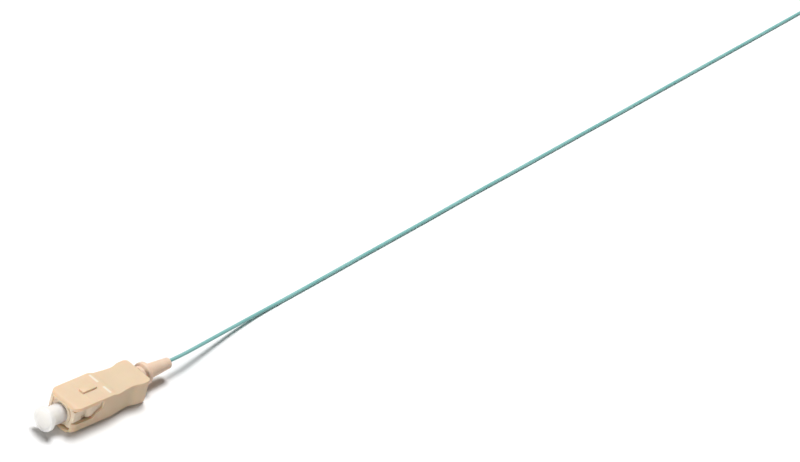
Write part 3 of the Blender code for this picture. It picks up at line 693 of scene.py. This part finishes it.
# The flange: turned stainless steel, pressed onto the back of the ferrule, with a tail tube that the fibre
# is glued into. The spring pushes on its shoulder.
FLANGE = [(9.0, 1.35), (9.0, 1.75), (11.2, 1.75), (11.2, 0.95), (18.2, 0.95), (18.2, 0.6), (10.6, 0.6),
          (10.6, 1.35)]
FLANGE_ROUNDS = [0.03, 0.12, 0.12, 0.06, 0.08, 0.05, 0.03, 0.03]
flange = turned("flange_turning", FLANGE, FLANGE_ROUNDS)

STEEL = (0.66, 0.66, 0.65)
STEEL_DEEP = (0.50, 0.50, 0.51)
steel = Finish("turned_steel", Metallic=1.0)
where = steel.place()
cuts = steel.add("ShaderNodeTexWave", {"wave_type": "BANDS", "bands_direction": "X"},
                 {"Vector": where, "Scale": 5200.0, "Distortion": 1.5, "Detail": 3.0, "Detail Scale": 2.0})
steel.feed("Base Color", steel.blend(steel.grain(where, size_mm=0.9), STEEL_DEEP, STEEL))
steel.feed("Roughness", 0.22 + 0.16 * cuts)
steel.relief(cuts, depth_mm=0.004)
fit_out(flange, steel, "ferrule_group", "ferrule_flange")


# The ferrule's spring: steel wire of 0.4 mm, wound in five and a half turns between the flange and the
# rear body. It is built at one length here, though the real one shortens when the ferrule is pushed back.
SPRING_TURNS = 5.5
SPRING_RADIUS = 1.45
SPRING_START = 11.6
SPRING_LONG = 5.1
WIRE_RADIUS = 0.2
wound_by = np.linspace(0, SPRING_TURNS, 200)
spring_line = np.column_stack([SPRING_START + SPRING_LONG * wound_by / SPRING_TURNS,
                               SPRING_RADIUS * np.cos(2 * np.pi * wound_by),
                               AXIS + SPRING_RADIUS * np.sin(2 * np.pi * wound_by)])
tangent = np.gradient(spring_line, axis=0)
tangent /= np.linalg.norm(tangent, axis=1, keepdims=True)
outwards = spring_line * [0.0, 1.0, 1.0] - [0.0, 0.0, AXIS]
outwards /= np.linalg.norm(outwards, axis=1, keepdims=True)
beside = np.cross(tangent, outwards)
rim = np.linspace(0, 2 * np.pi, 14, endpoint=False)
spring_grid = (spring_line[:, None] + WIRE_RADIUS * (np.cos(rim)[None, :, None] * outwards[:, None]
                                                     + np.sin(rim)[None, :, None] * beside[:, None]))
spring = skin("spring_wire", spring_grid, ends=True)
fit_out(spring, steel, "plug", "ferrule_spring", sharp=60.0)
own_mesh(spring)


# The rear body: a bright plated stop, turned and pressed into the back of the frame. The spring pushes on
# its front end, and it carries the boot on its post.
REAR_STOP = [(17.1, 1.2), (17.1, 1.75), (20.3, 1.75), (20.3, 2.25), (25.3, 2.25), (25.3, 0.75),
             (26.8, 0.75), (26.8, 0.5), (24.3, 0.5), (24.3, 1.2)]
REAR_STOP_ROUNDS = [0.05, 0.12, 0.05, 0.15, 0.15, 0.05, 0.1, 0.05, 0.05, 0.05]
rear_stop = turned("rear_stop", REAR_STOP, REAR_STOP_ROUNDS)
fit_out(rear_stop, steel, "plug", "rear_body")


# The boot: one soft moulding, a little pinker than the housing. Behind a short neck stands a round collar,
# and a tapered tube leads the fibre out. The fibre pulls it up and to the left, off the plug's axis.
BOOT = [(25.5, 1.55), (25.5, 2.15), (26.55, 2.15), (27.0, 2.8), (28.2, 2.8), (28.45, 1.88), (35.9, 1.34),
        (35.9, 0.95), (27.0, 0.95), (27.0, 1.55)]
BOOT_ROUNDS = [0.05, 0.15, 0.1, 0.4, 0.5, 0.4, 0.3, 0.12, 0.05, 0.05]
BOOT_SHIFT = (0.5, 0.38)
boot = turned("boot_moulding", BOOT, BOOT_ROUNDS, steps=8, shift=BOOT_SHIFT)

PINK_BEIGE = (0.84, 0.63, 0.48)
PINK_DEEP = (0.81, 0.60, 0.45)
rubber = Finish("boot_rubber", Specular_IOR_Level=0.4, Subsurface_Weight=0.25,
                Subsurface_Radius=(1.0, 0.5, 0.3), Subsurface_Scale=0.0012)
where = rubber.place()
cloud = rubber.grain(where, size_mm=2.5, detail=2.0).between(0.3, 0.7)
speck = rubber.grain(where, size_mm=0.22, detail=4.0, roughness=0.6)
rubber.feed("Base Color", rubber.blend(cloud, PINK_DEEP, PINK_BEIGE))
rubber.feed("Roughness", 0.55 + 0.14 * speck)
rubber.relief(speck, depth_mm=0.02)
fit_out(boot, rubber, "plug", "boot")


# The dust cap: one moulding in milky polythene. A dished disc to pull on, and a blind tube that goes into
# the frame's bore, over the ferrule.
CAP = [(-4.9, 0.0), (-4.92, 2.1), (-5.1, 2.4), (-5.1, 3.0), (-3.8, 3.0), (-3.8, 2.27), (0.4, 2.3),
       (5.8, 2.22), (5.8, 1.42), (-0.3, 1.42), (-0.3, 0.0)]
CAP_ROUNDS = [0.0, 0.3, 0.12, 0.38, 0.38, 0.25, 0.5, 0.2, 0.08, 0.2, 0.0]
cap = turned("cap_moulding", CAP, CAP_ROUNDS, steps=7, segments=128)

MILK = (0.92, 0.885, 0.83)
MILK_DEEP = (0.89, 0.85, 0.79)
polythene = Finish("milky_polythene", Subsurface_Weight=0.85, Subsurface_Radius=(1.0, 1.0, 0.9),
                   Subsurface_Scale=0.004)
where = polythene.place()
cloud = polythene.grain(where, size_mm=2.0, detail=2.0)
speck = polythene.grain(where, size_mm=0.3)
polythene.feed("Base Color", polythene.blend(cloud, MILK_DEEP, MILK))
polythene.feed("Roughness", 0.28 + 0.14 * speck)
polythene.relief(speck, depth_mm=0.012)
fit_out(cap, polythene, "cap", "dust_cap")


# The table and the light: a white sweep just under the plug, a dim white sky, a large soft lamp above and a
# little behind the plug, and a weaker one low in front of its nose.
TABLE_HALF = 3000.0
TABLE_DROP = 0.02
TABLE_WHITE = (0.94, 0.94, 0.94)
TABLE_DEEP = (0.93, 0.93, 0.93)
SKY_STRENGTH = 0.05
table_grid = np.array([[(-TABLE_HALF, side, -TABLE_DROP), (TABLE_HALF, side, -TABLE_DROP)]
                       for side in (-TABLE_HALF, TABLE_HALF)])
table = skin("table", table_grid, round_columns=False)
white = Finish("white_sweep", Roughness=0.9, Specular_IOR_Level=0.1)
cloud = white.grain(white.place(), size_mm=40.0, detail=2.0)
white.feed("Base Color", white.blend(cloud, TABLE_DEEP, TABLE_WHITE))
table.data.materials.append(white.material)

sky = bpy.data.worlds.new("sky")
bpy.context.scene.world = sky
sky.use_nodes = True
background = sky.node_tree.nodes["Background"]
background.inputs["Color"].default_value = (1.0, 1.0, 1.0, 1.0)
background.inputs["Strength"].default_value = SKY_STRENGTH


def lamp(name, aim, direction, distance, size, power):
    """A square soft lamp that stands that far from its aim, in that direction, and faces it. Its aim,
    distance and size are in metres."""
    light = new_object(name, bpy.data.lights.new(name, "AREA"))
    light.data.size = size
    light.data.energy = power
    back = np.array(direction, float) / np.linalg.norm(direction)
    side = np.cross(UP, back)
    side /= np.linalg.norm(side)
    light.matrix_world = placing(side, np.cross(back, side), back, np.array(aim) + back * distance)


lamp("key", aim=(0.05, 0.0, 0.0), direction=(0.23, 0.22, 1.0), distance=2.0, size=0.85, power=45.0)
lamp("fill", aim=(0.0, 0.0, 0.0), direction=(-1.0, -0.1, 0.2), distance=2.0, size=0.7, power=18.0)
bpy.context.scene.view_settings.view_transform = "Standard"
